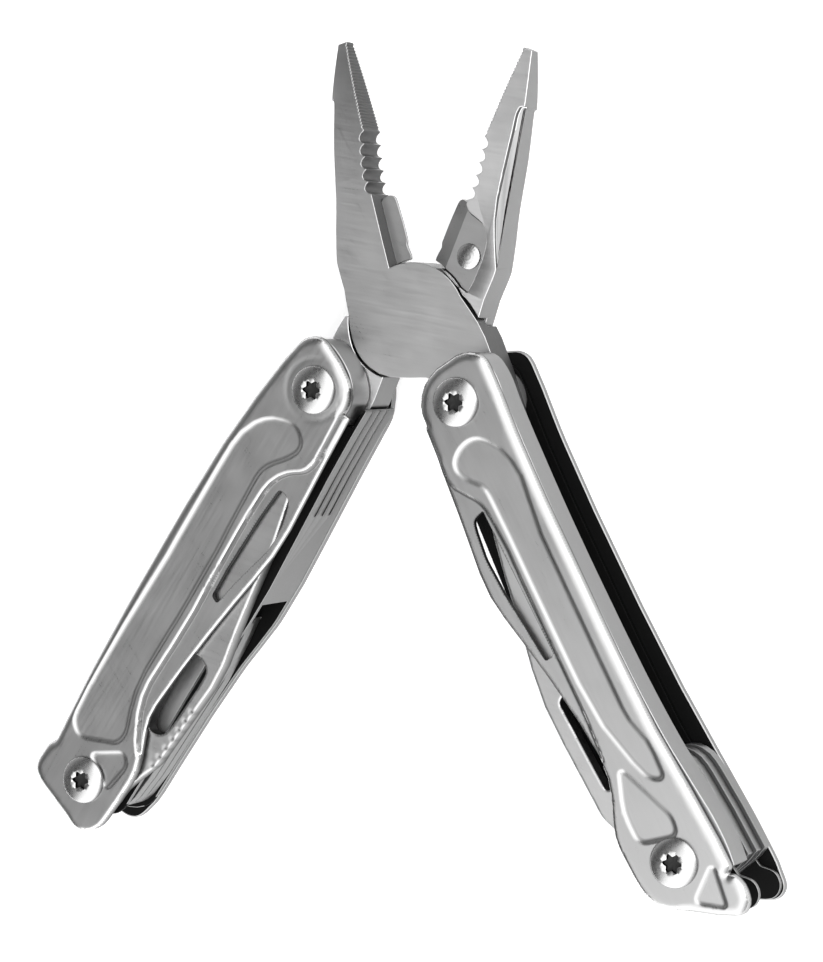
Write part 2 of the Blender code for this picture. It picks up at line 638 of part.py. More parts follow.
KNIFE_BLADE = [
    (10.0, -0.6, 0.3), (14.5, -3.9), (22, -6.2), (31, -7.6), (40, -8.6), (47, -10.0), (51.5, -10.8),
    (58, -10.3), (66, -9.7), (71.5, -9.2, 1), (75.5, -7.6), (79, -6.3), (84, -6.2), (87.4, -2.6),
    (87.4, 2.8), (84, 6.2), (77, 6.0), (72.4, 4.4, 0.6), (70.4, 6.8, 0.8), (60, 7.3), (44, 7.3),
    (30, 6.5), (19, 4.5), (12.6, 1.9),
]
KNIFE_HOLE = [
    (50.4, -5.4, 1.6), (51.4, -8.4, 2), (59, -8.5), (66.4, -7.6, 1.8), (67.3, -4.2, 1.8), (59, -3.0),
    (51.4, -3.4, 1.4),
]
SAW_BLADE = [
    (12.0, -1.0, 0.4), (16, -3.9), (24, -5.8), (33, -7.2), (40, -8.4), (46.6, -9.8), (53, -9.9),
    (62, -9.4), (69.6, -9.0, 1), (73.6, -7.3), (78, -6.1), (83.6, -6.0), (87, -2.8), (87, 2.6),
    (83.6, 5.7), (76, 5.0), (71.6, 3.8, 0.6), (70, 4.7, 0.5), (58, 4.7), (42, 4.5), (28, 3.6), (17, 1.8),
]
SAW_SLOT = [
    (49.2, -5.4, 0.7), (50.2, -7.3, 0.8), (58, -6.9), (66.2, -6.4, 0.7), (66.2, -4.6, 0.7), (58, -4.4),
]

# Working ends of the inner tools, from the tang's back round the tip to the front shoulder.
TIPS = {
    "file": [(56, -7.6), (43.6, -7.7, 0.4), (43.6, -2.3, 0.4), (58, -2.2)],
    "cross_driver": [
        (60, -7.5), (53, -7.4), (45.4, -6.9), (43.2, -5.5, 0.4), (45.4, -4.1), (53, -3.6), (60, -2.6),
    ],
    "flat_driver": [(58, -7.7), (50, -7.9), (43.0, -7.8, 0.3), (43.0, -3.4, 0.3), (50, -3.2), (58, -2.2)],
    "can_opener": [
        (58, -7.6), (47, -7.6), (43.0, -6.2, 0.4), (45.2, -3.4, 0.5), (48.8, -4.2, 1), (51.6, -2.2, 0.8),
        (58, -1.8),
    ],
    "bottle_opener": [
        (58, -7.6), (48, -7.8), (43.4, -7.0, 0.6), (43.6, -4.4, 0.6), (47.6, -4.6, 1), (50.4, -1.9, 0.8),
        (58, -1.6),
    ],
    "awl": [(60, -7.6), (52, -7.7), (42.8, -6.6, 0.2), (52, -4.2), (60, -2.6)],
}
INNER_TOOLS = {
    "right": ("file", "cross_driver", "flat_driver"),
    "left": ("can_opener", "bottle_opener", "awl"),
}
TAB_HEIGHT = {"right": (8.6, 9.2, 9.8), "left": (7.9, 8.2, 8.5)}


def from_axle(points, side):
    """Handle plan points measured from the lower screw instead of from the pivot."""
    return [(p[0] - HANDLE_LENGTH, p[1] * side, *p[2:]) for p in points]


def outer_tool(name, hand, outline, opening, parent, finish):
    """A blade in the pocket under the front plate, hung on the lower screw."""
    loops = [rounded(from_axle(outline, SIDES[hand])), rounded(from_axle(opening, SIDES[hand]))]
    loops.append(circle((0, 0), BORE_CLEAR))
    return add_object(name, prism_mesh(name, loops, *BLADE), parent, finish, (HANDLE_LENGTH, 0, 0))


def inner_tool(kind, hand, layer, tab, parent, finish):
    """A flat tool in the channel, with a nail tab that stands out of the open edge."""
    back = [(86.2, -3.0), (83.6, -6.1), (79, -6.9), (70, -7.2)]
    front = [
        (62.0, -1.2), (63.6, 1.2), (64.8, tab - 3.4), (67.4, tab - 1.4), (74, tab - 0.5),
        (84.6, tab, 0.3), (85.6, tab - 2.2, 0.4), (87.0, 1.0),
    ]
    outline = rounded(from_axle([*back, *TIPS[kind], *front], SIDES[hand]))
    loops = [outline, circle((0, 0), BORE_CLEAR)]
    name = f"{hand}_{kind}"
    return add_object(name, prism_mesh(name, loops, *layer), parent, finish, (HANDLE_LENGTH, 0, 0))


def lock_tongue(name, hand, parent, finish):
    root = TONGUE[0][0]
    outline = rounded([(p[0] - root, p[1] * SIDES[hand], *p[2:]) for p in TONGUE])
    mesh = prism_mesh(name, [outline], CHANNEL_INSIDE[1], CHANNEL[1])
    return add_object(name, mesh, parent, finish, (root, 0, 0))


# ---------------------------------------------------------------- assembly


def handle_place(hand):
    """Where the handle's pivot is in plan, measured from the plier pivot, and which way it points."""
    side = SIDES[hand]
    turn = JAW_OPENING * side
    x, y = HANDLE_PIVOT[0] * side, HANDLE_PIVOT[1]
    place = (x * math.cos(turn) - y * math.sin(turn), x * math.sin(turn) + y * math.cos(turn))
    return place, HANDLE_SPREAD[hand] * side - math.pi / 2


def build_handle(hand, tool):
    place, turn = handle_place(hand)
    parent = frame(f"{hand}_handle", (*place, 0), turn, parent=tool)
    far = (HANDLE_LENGTH, 0)
    front_plate(f"{hand}_front_plate", hand, parent, BLASTED)
    rear_plate(f"{hand}_rear_plate", hand, parent, BLASTED)
    channel(f"{hand}_channel", hand, parent, PLAIN)
    pocket_rail(f"{hand}_pocket_rail", hand, parent, BLASTED)
    lock_tongue(f"{hand}_lock_tongue", hand, parent, PLAIN)
    for spot, where in (("pivot", (0, 0)), ("tool", far)):
        barrel(f"{hand}_{spot}_barrel", where, parent, PLAIN)
        button_screw(f"{hand}_{spot}_screw", where, parent, SCREW_STEEL)
    ring(f"{hand}_pivot_washer", (0, 0), REAR_WASHER, 5.6, parent, PLAIN)
    ring(f"{hand}_pivot_bush", (0, 0), FRONT_BUSH, 4.8, parent, PLAIN)
    ring(f"{hand}_pocket_spacer", (0, 0), (REAR_BLADE_WASHER[0], FRONT_BLADE_WASHER[1]), 4.4, parent, PLAIN)
    ring(f"{hand}_tool_bush", far, (9.6, 11.1), 4.6, parent, PLAIN)
    ring(f"{hand}_blade_washer_rear", far, REAR_BLADE_WASHER, 5.0, parent, PLAIN)
    ring(f"{hand}_blade_washer_front", far, FRONT_BLADE_WASHER, 5.0, parent, PLAIN)
    for kind, layer, tab in zip(INNER_TOOLS[hand], INNER_TOOL_LAYERS, TAB_HEIGHT[hand]):
        inner_tool(kind, hand, layer, tab, parent, BLADE_STEEL)
    if hand == "left":
        outer_tool("knife_blade", hand, KNIFE_BLADE, KNIFE_HOLE, parent, BLADE_STEEL)
    else:
        outer_tool("serrated_blade", hand, SAW_BLADE, SAW_SLOT, parent, BLADE_STEEL)


def main():
    clear_scene()
    tool = frame("multi_tool", (*PLIER_PIVOT, 0))
    front = frame("front_half", (0, 0, HEAD_MIDDLE), JAW_OPENING, parent=tool)
    rear = frame("rear_half", (0, 0, HEAD_MIDDLE), -JAW_OPENING, flip=True, parent=tool)
    plier_half("front_jaw_half", front, FORGED, pin_depth=2.3, flush_head=False)
    plier_half("rear_jaw_half", rear, FORGED, pin_depth=5, flush_head=True)
    cutter_pieces("front", front, BLADE_STEEL)
    cutter_pieces("rear", rear, BLADE_STEEL)
    return_spring(front, PLAIN)
    pivot_pin(tool, PLAIN)
    for hand in SIDES:
        build_handle(hand, tool)


main()
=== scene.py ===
"""Looks of the pocket multi tool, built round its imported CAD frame.

Most steel pieces are the CAD solids with their edges rounded. The stamped front plates, the outside
blades and the screws are modelled again in finer detail from the CAD's own outlines. Lengths are
millimetres, and MM turns them into metres. A place on a handle is given along it, from its upper
screw towards its lower one, and across it, towards the open side of its channel.
"""

import json
import math
from functools import partial
from typing import NamedTuple

import bmesh
import bpy
import numpy as np
from mathutils import Matrix, Vector
from mathutils.geometry import delaunay_2d_cdt


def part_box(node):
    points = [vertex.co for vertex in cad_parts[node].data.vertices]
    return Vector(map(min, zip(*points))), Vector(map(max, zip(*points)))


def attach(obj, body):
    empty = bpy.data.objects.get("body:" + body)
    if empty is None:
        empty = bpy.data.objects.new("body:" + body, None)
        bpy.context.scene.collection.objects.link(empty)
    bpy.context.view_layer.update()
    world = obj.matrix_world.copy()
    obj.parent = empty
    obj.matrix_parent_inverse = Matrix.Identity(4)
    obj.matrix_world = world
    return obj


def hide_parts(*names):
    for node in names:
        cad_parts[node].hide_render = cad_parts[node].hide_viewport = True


MM = 0.001
SIDES = {"right": 1, "left": -1}
INNER_TOOLS = ("opener", "driver", "_file", "awl")

# How far each kind of CAD piece has its edges rounded, and the bend in degrees that counts as an edge.
EDGE_ROUNDING = {
    "jaw_half": 0.14, "cutter_insert": 0.1, "rear_plate": 0.25, "channel": 0.1, "pocket_rail": 0.25,
    "lock_tongue": 0.1, "file": 0.15, "driver": 0.15, "opener": 0.15, "awl": 0.15, "pivot_pin": 0.1,
}
SHARP_BEND, RELIEF_BEND = 35, 42

# Cleaning of a CAD mesh: points this near are one, and faces within this many degrees are flat.
WELD_GAP, FLAT_WITHIN = 0.002, 0.6

# Relief meshes: rows of points beside the outlines and the steps, and a triangular grid elsewhere. A
# row keeps a point whose nearest segment is at least OWN_ROW of the row's own offset away.
MESH_STEP, BLADE_STEP, NOTCH_STEP = 0.5, 0.42, 0.3
RIM_ROWS = (0.1, 0.28, 0.5, 0.8, 1.15, 1.5)
STEP_ROWS = (0.05, 0.15, 0.28, 0.42, 0.6, 0.8, 1.05)
ROW_HEIGHT = 0.87
RIM_CLEARANCE, LEAST_GAP = 0.08, 0.16
OWN_ROW = 0.93
# Painted shade on the bottom faces of the relief meshes.
BACK_SHADE = 0.8

# Stamped front plates. An edge rolls off narrowly on the spine side and widely elsewhere.
PLATE_BACK, RAISED = 15.8, 17.5
ROLL_WIDTH, ROLL_DROP = (0.5, 1.5), (0.3, 1.1)
ROLL_ACROSS, ROLL_ALONG = (-4, 0), (9, 6)
LOWERED_ROLL = 0.28
RIM_WEAR = 0.6
RING_RADIUS, RING_WIDTH, RING_DEPTH = 5.1, 0.3, 0.05

# How near a point lies to a step's outline, to the plate's rim and to a hole's edge to count as on it.
ON_LINE, ON_RIM, ON_EDGE = 0.06, 0.12, 0.05
# Painted shade on the walls round a plate's or a blade's holes.
HOLE_SHADE = 0.9

# Outside blades, ground thin along their cutting edge, and the knife's grip notches along its handle.
BLADE_FACES = (12.55, 15.25)
CUTTING_ALONG, CUTTING_ACROSS = (13, 70), -1
# The ground bevel is drawn darker towards the cutting edge, painted shade.
GRIND_WIDTH, GRIND_SHADE = 5.2, 0.45
EDGE_THICKNESS = 0.3
BLADE_ROLL, BLADE_DROP, MOST_ROLL, BLADE_WEAR = 0.28, 0.14, 0.6, 0.3
NOTCHES = [59.4 + 2.05 * i for i in range(7)]
# The notches also get painted shade in their hollows.
NOTCH_LENGTH, NOTCH_REACH, NOTCH_DEPTH, NOTCH_SHADE = 0.38, 0.42, 0.15, 0.85
NOTCH_WINDOW, NOTCH_INSET = 0.4, 0.4

# Button screws.
SCREW_SEAT, SCREW_RADIUS, SCREW_HEIGHT, SCREW_RIM = 17.6, 4.0, 1.3, 0.28
SCREW_EASE, SHANK_RADIUS = 0.1, 1.3
SOCKET_MOUTH, SOCKET_DEPTH, SOCKET_TIP = 1.75, 0.95, 0.15
# Painted shade on the socket's walls and floor.
SOCKET_CHAMFER, SOCKET_SHADE = 0.2, 0.95
LOBES, LOBE_RADIUS, LOBE_SWING = 6, 1.36, 0.24

# Flutes stamped down the closed spine of each channel. SPINE_LINE picks the spine out of the outline,
# and SPINE_FACE its outer faces.
FLUTE_HEIGHTS = (4.4, 6.9, 9.4)
FLUTE_WIDTH, FLUTE_DEPTH, FLUTE_END = 0.5, 0.16, 32.0
FLUTE_LIFT, FLUTE_FADE = 0.03, 1.5
CHANNEL_TOP = 12.0
SPINE_LINE, SPINE_FACE, BEYOND_SPINE = -7.3, -6.9, -14
CHANNEL_END = 84.5

# Painted shade where the assembly's shade falls: the rear plates' inner faces, the jaws' gripping faces
# and the steps beside them, below a face that tapers with its reach from the pivot, and the folded
# tools' flat faces.
REAR_PLATE_INNER = 1.2
JAW_REACH, JAW_FACE, LAP_RADIUS = (22, 48.3), (9.3, 7.3), 13
GRIP_SHADE, JAW_STEP_SHADE, TOOL_SHADE = 0.62, 0.5, 0.75

# Scales of the noises in the steel, in repeats per metre, and how far a brushed one is stretched.
BLOTCHES, FINE_GRAIN, PLAIN_MARKS, BRUSHED_MARKS, STREAKS = 160, 5200, 2400, 2600, 700
BRUSHED_STRETCH, STREAK_STRETCH = (0.05, 1.0, 1.0), (0.05, 1.6, 1.0)
STREAK_TURN, STREAK_SHARPNESS = 0.9, 90.0

# A face is a cut side below the first upward share of its normal, and a level face above the second. Cut
# sides are drawn darker than level faces, painted shade.
LEVEL_NORMALS = (0.3, 0.8)

# How much each of these changes the steel's colour, its roughness and its relief.
# Worn edges and painted highlights lighten the colour; painted shade darkens it nearly to black.
TO_COLOUR = {"marks": 0.06, "edge": 0.3, "painted_shade": 0.96}
TO_ROUGHNESS = {"marks": 0.12, "blotches": 0.1, "edge": 0.12, "painted_shade": 0.3, "scratches": 0.04}
TO_RELIEF = {"marks": 0.6, "scratches": 0.25}
RELIEF_STRENGTH, RELIEF_DEPTH = 0.3, 0.008

# The record's material slots, and two steels for pieces that differ from their slot: a lighter copy of the
# forged steel, painted light, for the jaw that faces the light, and one for the folded tools.
STEELS = {
    "forged_steel": dict(grey=0.72, roughness=0.34, grain=0.8, brushed=0.1, tone=0.05, side_shade=0.36),
    "blade_steel": dict(grey=0.62, roughness=0.33, grain=0.3, brushed=0.2, wear_and_sheen=0.3),
    "screw_steel": dict(grey=0.64, roughness=0.28, grain=0.05, tone=0.02, side_shade=0.4),
    "plain_steel": dict(grey=0.46, roughness=0.42, grain=0.6, tone=0.06, side_shade=0.42),
    "blasted_steel": dict(grey=0.52, roughness=0.42, grain=1.0, tone=0.04),
    "tool_steel": dict(grey=0.5, roughness=0.36, grain=0.4, tone=0.05, side_shade=0.45),
    # A lighter copy of the forged steel, painted light on the jaw that faces the light.
    "lit_forged_steel": dict(grey=0.98, roughness=0.34, grain=0.8, brushed=0.1, tone=0.06, side_shade=0.22),
}

# The sky's brightness, from the upper left horizon, -1, to the lower right one, 1.
SKY = [
    (-1.0, 0.4), (-0.75, 0.08), (-0.55, 0.06), (-0.45, 0.14), (-0.385, 0.2), (-0.33, 0.5), (-0.27, 1.05),
    (-0.2, 1.7), (0.1, 1.8), (0.4, 2.2), (0.65, 1.4), (1.0, 0.6),
]
SKY_SCALE = 3.0
SKY_TURN = (1.0, -0.5)
FLOOR_HALF, FLOOR_DROP = 1500, 0.2
FLOOR_GREY, FLOOR_ROUGHNESS, FLOOR_GLOW = 0.9, 0.9, 0.45

# The camera's lens, its place from the pliers' pivot, and its right and up directions, which were
# fitted to the photograph.
LENS = 119.6
EYE = (236.89, 15.73, 478.38)
EYE_RIGHT = (0.89021, 0.05974, -0.45162)
EYE_UP = (-0.08914, 0.99504, -0.04409)


class Mark(NamedTuple):
    """A painted line along the foot of a step, of highlight or of shade: its strength, its place past the
    foot and its width.
    """

    strength: float
    place: float
    width: float


class Step(NamedTuple):
    """A sunk area of a front plate: the CAD's level, the level drawn, and the shoulder down to it."""

    level: float
    face: float
    shoulder: float
    bend: float
    # Its two marks: a painted highlight along the shoulder, and painted shade in the crease at its foot.
    painted_highlight: Mark
    painted_shade: Mark


# In each step, the first mark is a painted highlight and the second painted shade.
LOWERED = Step(16.7, 16.7, 0.45, 1.8, Mark(0.7, -0.25, 0.2), Mark(0.9, 0.1, 0.17))
PANEL = Step(17.0, 17.2, 0.65, 1.5, Mark(0.4, -0.3, 0.2), Mark(0.55, 0.05, 0.12))


# ---------------------------------------------------------------- plan geometry


class Handle:
    """A handle's own axes in plan, found from the barrels at its two ends."""

    def __init__(self, hand):
        upper = centre_of(f"{hand}_pivot_barrel")
        lower = centre_of(f"{hand}_tool_barrel")
        self.origin = upper
        self.length = np.hypot(*(lower - upper))
        self.along = (lower - upper) / self.length
        self.across = np.array([-self.along[1], self.along[0]]) * SIDES[hand]

    def local(self, points):
        offset = np.asarray(points) - self.origin
        return offset @ self.along, offset @ self.across

    def place(self, along, across):
        return self.origin + along * self.along + across * self.across


def centre_of(node):
    low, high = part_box(node)
    return np.array([low.x + high.x, low.y + high.y]) / 2 / MM


def loops_at(node, level):
    """The closed outlines of a CAD node's flat faces at one height."""
    mesh = FRAME["nodes"][node].data
    points = np.array([v.co for v in mesh.vertices]) / MM
    keys = [tuple(p) for p in np.round(points, 3).tolist()]
    ends = {}
    for face in mesh.polygons:
        if np.abs(points[list(face.vertices), 2] - level).max() > 0.01:
            continue
        corners = [keys[i] for i in face.vertices]
        ends.update(dict.fromkeys(zip(corners, (*corners[1:], corners[0]))))
    follows = {a: b for a, b in ends if (b, a) not in ends}
    loops = []
    while follows:
        start, here = follows.popitem()
        loop = [start]
        while here != start and here in follows:
            loop.append(here)
            here = follows.pop(here)
        loops.append(np.array(loop)[:, :2])
    return loops


def holes_and_outer(loops):
    """(the smaller outlines, the largest one)"""
    *holes, outer = sorted(loops, key=lambda loop: np.ptp(loop, axis=0).max())
    return holes, outer


def resampled(loop, step):
    """The loop with its long edges cut into pieces no longer than the step."""
    points = []
    for a, b in zip(loop, np.roll(loop, -1, axis=0)):
        count = max(1, math.ceil(np.hypot(*(b - a)) / step))
        points += [a + (b - a) * i / count for i in range(count)]
    return np.array(points)


def distance(points, starts, ends):
    """Distance from each point to the nearest of the segments."""
    nearest = np.full(len(points), 1e9)
    for a, b in zip(starts, ends):
        run = b - a
        share = np.clip((points - a) @ run / max(run @ run, 1e-12), 0, 1)
        nearest = np.minimum(nearest, np.hypot(*(points - a - share[:, None] * run).T))
    return nearest


def segments(loops):
    """(starts, ends) of every edge of the loops"""
    starts = np.concatenate(loops)
    ends = np.concatenate([np.roll(loop, -1, axis=0) for loop in loops])
    return starts, ends


def inside(points, loops):
    """Whether each point lies inside the outlines and outside their holes."""
    crossings = np.zeros(len(points), int)
    for a, b in zip(*segments(loops)):
        if a[1] == b[1]:
            continue
        spans = (a[1] > points[:, 1]) != (b[1] > points[:, 1])
        x = a[0] + (points[:, 1] - a[1]) * (b[0] - a[0]) / (b[1] - a[1])
        crossings += spans & (points[:, 0] < x)
    return crossings % 2 == 1


def bump(gap, width):
    """1 where the gap is nil, and falling to nothing within about two widths."""
    return np.exp(-((gap / width) ** 2))


def ramp(x, start, end):
    """0 at the start and 1 at the end, with a smooth turn at both."""
    share = np.clip((x - start) / (end - start), 0, 1)
    return share * share * (3 - 2 * share)


def roll_off(gap, width, drop):
    """How far a rolled edge drops at this distance from the edge."""
    near = np.clip(1 - gap / width, 0, 1)
    return drop * (1 - np.sqrt(1 - near**2))


# ---------------------------------------------------------------- meshes


def relief_mesh(name, loops, heights, step, guides=None, two_faced=False):
    """A plate between outlines, whose faces follow heights(points) -> (top, bottom, marks).

    Unless it is two-faced, its bottom has only the outlines' own points."""
    loops = [resampled(loop, step) for loop in loops]
    rim = np.concatenate(loops)
    edges = []
    for loop in loops:
        first, count = len(edges), len(loop)
        edges += [(first + i, first + (i + 1) % count) for i in range(count)]
    field = field_points(loops, step, guides)
    front, front_faces = triangles_between(np.concatenate([rim, field]), edges, loops)
    back, back_faces = front, front_faces
    if not two_faced:
        back, back_faces = triangles_between(rim, edges, loops)

    top, _, marks = heights(front)
    _, bottom, _ = heights(back)
    points = np.concatenate([np.column_stack([front, top]), np.column_stack([back, bottom])])
    faces = front_faces.tolist() + (back_faces[:, ::-1] + len(front)).tolist()
    under = {key(p): len(front) + i for i, p in enumerate(back)}
    for a, b in boundary(front_faces):
        faces.append((b, a, under[key(front[a])], under[key(front[b])]))
    mesh = bpy.data.meshes.new(name)
    mesh.from_pydata((points * MM).tolist(), [], faces)
    # The bottom faces get painted shade in their inside mark, and no wear.
    for title, values in marks.items():
        below = np.full(len(back), BACK_SHADE if title == "inside" else 0.0)
        attribute = mesh.attributes.new(title, "FLOAT", "POINT")
        attribute.data.foreach_set("value", np.concatenate([values, below]))
    return smooth_shaded(mesh, RELIEF_BEND)


def field_points(loops, step, guides):
    """Points inside the outlines: rows beside the rim and the guides, and a grid elsewhere."""
    rim = segments(loops)
    rows = beside(rim, RIM_ROWS)
    low, high = rim[0].min(0), rim[0].max(0)
    xs = np.arange(low[0], high[0], step)
    ys = np.arange(low[1], high[1], step * ROW_HEIGHT)
    grid = np.array([(x + step / 2 * (j % 2), y) for j, y in enumerate(ys) for x in xs])
    if guides is not None:
        rows = np.concatenate([beside(guides, STEP_ROWS), rows])
        grid = grid[distance(grid, *guides) > STEP_ROWS[-1]]
    field = np.concatenate([rows, grid])
    field = field[inside(field, loops)]
    field = field[distance(field, *rim) > RIM_CLEARANCE]
    return thinned(field, LEAST_GAP)


def beside(edge, offsets):
    """Rows of points on both sides of the segments, at each offset, that no other segment is nearer to."""
    starts, ends = edge
    normals = np.stack([(ends - starts)[:, 1], (starts - ends)[:, 0]], axis=1)
    normals /= np.linalg.norm(normals, axis=1, keepdims=True)
    rows = []
    for offset in offsets:
        for way in (offset, -offset):
            row = (starts + ends) / 2 + normals * way
            rows.append(row[distance(row, starts, ends) > OWN_ROW * offset])
    return np.concatenate(rows)


def thinned(points, gap):
    """The points, leaving out each one that lies closer than the gap to one before it."""
    kept, cells = [], {}
    for point in points:
        i, j = (int(v) for v in np.floor(point / gap))
        near = (cells.get((i + a, j + b)) for a in (-1, 0, 1) for b in (-1, 0, 1))
        if any(other is not None and np.hypot(*(other - point)) < gap for other in near):
            continue
        cells[(i, j)] = point
        kept.append(point)
    return np.array(kept)


def key(point):
    """The point as something that a dict can look up."""
    return tuple(np.round(point, 4).tolist())


def boundary(triangles):
    """The edges that only one triangle has."""
    ends = {(int(a), int(b)) for t in triangles for a, b in zip(t, np.roll(t, -1))}
    return [(a, b) for a, b in ends if (b, a) not in ends]


def triangles_between(points, edges, loops):
    """(points, counter-clockwise triangles) that fill the outlines and leave their holes open."""
    found = delaunay_2d_cdt([Vector(p) for p in points.tolist()], edges, [], 1, 1e-5)
    where = np.array([tuple(p) for p in found[0]])
    triangles = np.array(found[2])
    triangles = triangles[inside(where[triangles].mean(axis=1), loops)]
    a, b, c = (where[triangles[:, i]] for i in range(3))
    turn = (b - a)[:, 0] * (c - a)[:, 1] - (b - a)[:, 1] * (c - a)[:, 0]
    triangles[turn < 0] = triangles[turn < 0][:, ::-1]
    return where, triangles


def turned_mesh(name, profile, steps):
    """A solid of revolution. A radius in its profile is a number, or a function of the turn."""
    work = bmesh.new()
    rings = []
    for radius, height in profile:
        turns = [2 * math.pi * i / steps for i in range(1 if radius == 0 else steps)]
        reach = [radius(a) if callable(radius) else radius for a in turns]
        places = [(r * math.cos(a), r * math.sin(a), height) for a, r in zip(turns, reach)]
        rings.append([work.verts.new(Vector(place) * MM) for place in places])
    for lower, upper in zip(rings, rings[1:]):
        for i in range(steps):
            j = (i + 1) % steps
            below = [lower[i % len(lower)], lower[j % len(lower)]]
            above = [upper[j % len(upper)], upper[i % len(upper)]]
            work.faces.new(list(dict.fromkeys([*below, *above])))
    return finished(work, name)


def prism_mesh(name, outline, low, high):
    """The outline in plan, standing from one height to another."""
    work = bmesh.new()
    bottom = [work.verts.new((x * MM, y * MM, low * MM)) for x, y in outline]
    top = [work.verts.new((x * MM, y * MM, high * MM)) for x, y in outline]
    work.faces.new(bottom)
    work.faces.new(top)
    for i in range(len(outline)):
        j = (i + 1) % len(outline)
        work.faces.new((bottom[i], bottom[j], top[j], top[i]))
    return finished(work, name)


def finished(work, name):
    bmesh.ops.recalc_face_normals(work, faces=work.faces)
    return smooth_shaded(mesh_of(work, name), SHARP_BEND)


def mesh_of(work, name):
    mesh = bpy.data.meshes.new(name)
    work.to_mesh(mesh)
    work.free()
    return mesh


def smooth_shaded(mesh, bend):
    """Smooth shading, with a sharp line wherever the surface bends by more than this many degrees."""
    mesh.shade_smooth()
    mesh.set_sharp_from_angle(angle=math.radians(bend))
    return mesh


# ---------------------------------------------------------------- pieces


def link(name, mesh, material):
    piece = bpy.data.objects.new(name, mesh)
    mesh.materials.clear()
    mesh.materials.append(material)
    bpy.context.scene.collection.objects.link(piece)
    return piece


def stand_for(piece, node):
    """The piece moves with the CAD node's body and is shown in its place."""
    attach(piece, BODY_OF[node])
    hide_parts(node)


def handle_of(node):
    return HANDLES[node.split("_")[0]]


def is_inner_tool(node):
    return any(word in node for word in INNER_TOOLS)


def softened(node, width, material):
    """The CAD node's own shape with its sharp edges rounded."""
    work = bmesh.new()
    work.from_mesh(FRAME["nodes"][node].data)
    bmesh.ops.remove_doubles(work, verts=work.verts, dist=WELD_GAP * MM)
    flat = math.radians(FLAT_WITHIN)
    bmesh.ops.dissolve_limit(work, angle_limit=flat, verts=work.verts, edges=work.edges)
    name = f"{node}_soft"
    piece = link(name, smooth_shaded(mesh_of(work, name), SHARP_BEND), material)
    if node.endswith("channel"):
        cut_flutes(piece, node)
    round_edges(piece, width)
    apply_modifiers(piece)
    mark_painted_shade(piece, node)
    stand_for(piece, node)


def cut_flutes(piece, node):
    """Shallow grooves down the outside of the spine, which fade out."""
    handle = handle_of(node)
    along, across = handle.local(loops_at(node, CHANNEL_TOP)[0])
    spine = (across < SPINE_LINE) & (along < FLUTE_END + 6)
    order = np.argsort(along[spine])
    places = np.linspace(along[spine].min() - 0.5, FLUTE_END, 40)
    wall = np.interp(places, along[spine][order], across[spine][order])
    remaining = 1 - (places / FLUTE_END).clip(0, 1)
    floor = wall + FLUTE_DEPTH * remaining**FLUTE_FADE - FLUTE_LIFT
    inner = [handle.place(a, b) for a, b in zip(places, floor)]
    outer = [handle.place(a, BEYOND_SPINE) for a in places[::-1]]
    for height in FLUTE_HEIGHTS:
        low, high = height - FLUTE_WIDTH / 2, height + FLUTE_WIDTH / 2
        cut(piece, prism_mesh(f"{piece.name}_flute", [*inner, *outer], low, high))


def cut(piece, mesh):
    """Cuts the mesh out of the piece for good, and drops the cutter."""
    cutter = bpy.data.objects.new(mesh.name, mesh)
    bpy.context.scene.collection.objects.link(cutter)
    modifier = piece.modifiers.new("cut", "BOOLEAN")
    modifier.object = cutter
    modifier.solver = "EXACT"
    apply_modifiers(piece)
    bpy.data.objects.remove(cutter)


def round_edges(piece, width):
    bevel = piece.modifiers.new("rounded_edges", "BEVEL")
    bevel.width = width * MM
    bevel.segments = 2
    bevel.limit_method = "ANGLE"
    bevel.angle_limit = math.radians(SHARP_BEND)
    bevel.use_clamp_overlap = False
    bevel.harden_normals = True


def apply_modifiers(piece):
    bpy.context.view_layer.update()
    graph = bpy.context.evaluated_depsgraph_get()
    mesh = bpy.data.meshes.new_from_object(piece.evaluated_get(graph), depsgraph=graph)
    piece.modifiers.clear()
    piece.data = mesh


def mark_painted_shade(piece, node):
    """Marks painted shade on the faces that lie in the shade of the assembly, the jaws' gripping faces
    among them.
    """
    polygons = piece.data.polygons
    centres, normals = np.empty(3 * len(polygons)), np.empty(3 * len(polygons))
    polygons.foreach_get("center", centres)
    polygons.foreach_get("normal", normals)
    centres, normals = centres.reshape(-1, 3) / MM, normals.reshape(-1, 3)
    upward = normals[:, 2]
    # Painted shade on a channel's inner faces, a rear plate's inner face, a jaw's gripping faces and sunk
    # steps, and a folded tool's flat faces.
    if node.endswith("channel"):
        handle = handle_of(node)
        along, across = handle.local(centres[:, :2])
        outward = -(normals[:, :2] @ handle.across)
        spine = (outward > 0.3) & (across < SPINE_FACE)
        end = (along > CHANNEL_END) & (np.abs(upward) < 0.95)
        values = np.where(spine | end, 0.0, 1.0)
    elif node.endswith("rear_plate"):
        values = ((upward > 0.95) & (centres[:, 2] > REAR_PLATE_INNER)).astype(float)
    elif node.endswith("jaw_half"):
        inward = normals[:, 0] * (1 if node.startswith("front") else -1)
        reach = np.hypot(*(centres[:, :2] - centre_of("plier_pivot_pin")).T)
        sunk = centres[:, 2] < np.interp(reach, JAW_REACH, JAW_FACE) - 0.3
        values = GRIP_SHADE * ((inward > 0.35) & (np.abs(upward) < 0.5))
        values += JAW_STEP_SHADE * ((upward > 0.3) & sunk & (reach > LAP_RADIUS))
    elif is_inner_tool(node):
        values = TOOL_SHADE * (upward > 0.9)
    else:
        return
    # The inside mark is painted shade: the steel draws it darker, nearly black where it is full.
    piece.data.attributes.new("inside", "FLOAT", "FACE").data.foreach_set("value", values)


# ---------------------------------------------------------------- materials


